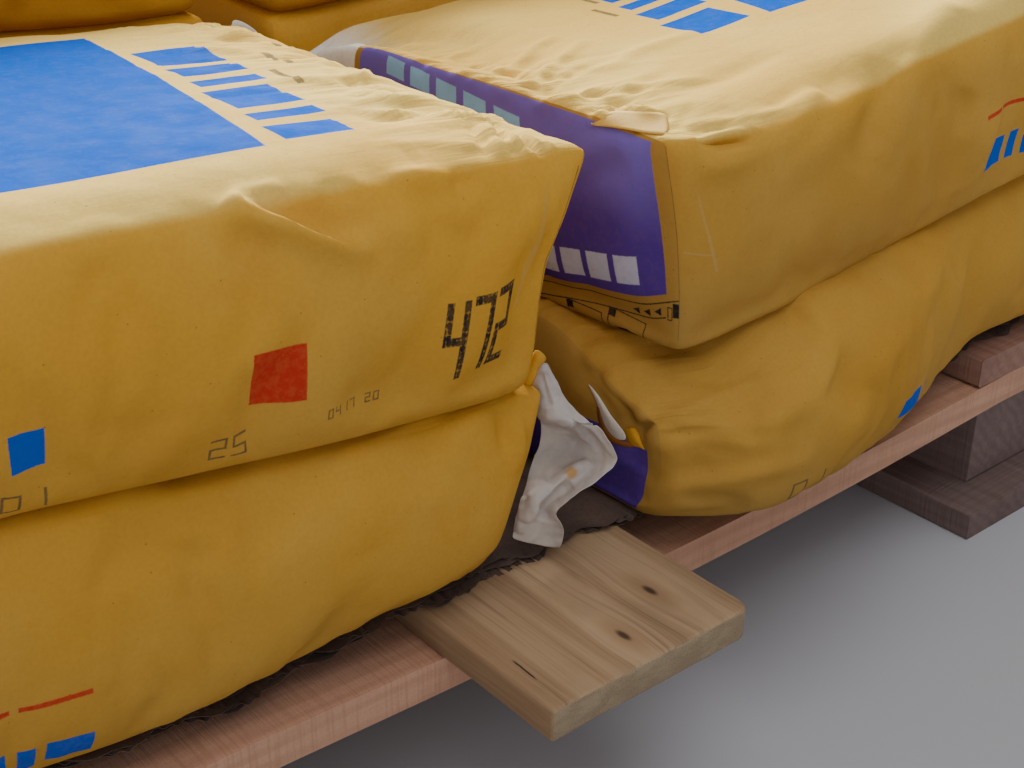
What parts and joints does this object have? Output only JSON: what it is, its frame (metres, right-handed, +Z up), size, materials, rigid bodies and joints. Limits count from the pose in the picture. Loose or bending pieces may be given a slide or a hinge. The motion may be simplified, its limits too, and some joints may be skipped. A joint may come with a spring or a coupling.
{
  "type": "pallet of sacks",
  "caption": "Softwood block pallet loaded with filled paper sacks of powder in two columns, on a corrugated liner, with a loose plank sticking out in front.",
  "frame": {"origin": "on the floor, under the middle of the whole load's box", "axes": "+X along the pallet's front, +Y from its front to its back, +Z up"},
  "size_m": [1.252, 0.9, 0.5286],
  "materials": {
    "pallet_timber": "sawn, weathered",
    "treated_timber": "sawn, pressure treated, greenish",
    "liner_cardboard": "dark, corrugated, matt",
    "sack_paper": "printed kraft paper, satin, creased",
    "inner_ply": "white kraft paper, torn and crumpled"
  },
  "bodies": {
    "root": {"bottom_board_left": "pallet_timber", "block_left_front": "pallet_timber", "block_left_middle": "pallet_timber", "block_left_rear": "pallet_timber", "deck_board_left_inner": "pallet_timber", "deck_board_left_outer": "pallet_timber", "bottom_board_right": "pallet_timber", "block_right_front": "pallet_timber", "block_right_middle": "pallet_timber", "block_right_rear": "pallet_timber", "deck_board_right_inner": "pallet_timber", "deck_board_right_outer": "pallet_timber", "stringer_front": "pallet_timber", "stringer_middle": "pallet_timber", "stringer_rear": "pallet_timber", "loose_plank": "treated_timber", "cardboard_liner": "liner_cardboard", "sack_front_left_low": "sack_paper", "sack_front_left_top": "sack_paper", "sack_back_left_low": "sack_paper", "sack_back_left_mid": "sack_paper", "sack_back_left_top": "sack_paper", "sack_front_right_low": "sack_paper", "sack_front_right_top": "sack_paper", "sack_back_right_low": "sack_paper", "sack_back_right_mid": "sack_paper", "sack_back_right_top": "sack_paper", "torn_paper": "inner_ply"}
  },
  "joints": []
}
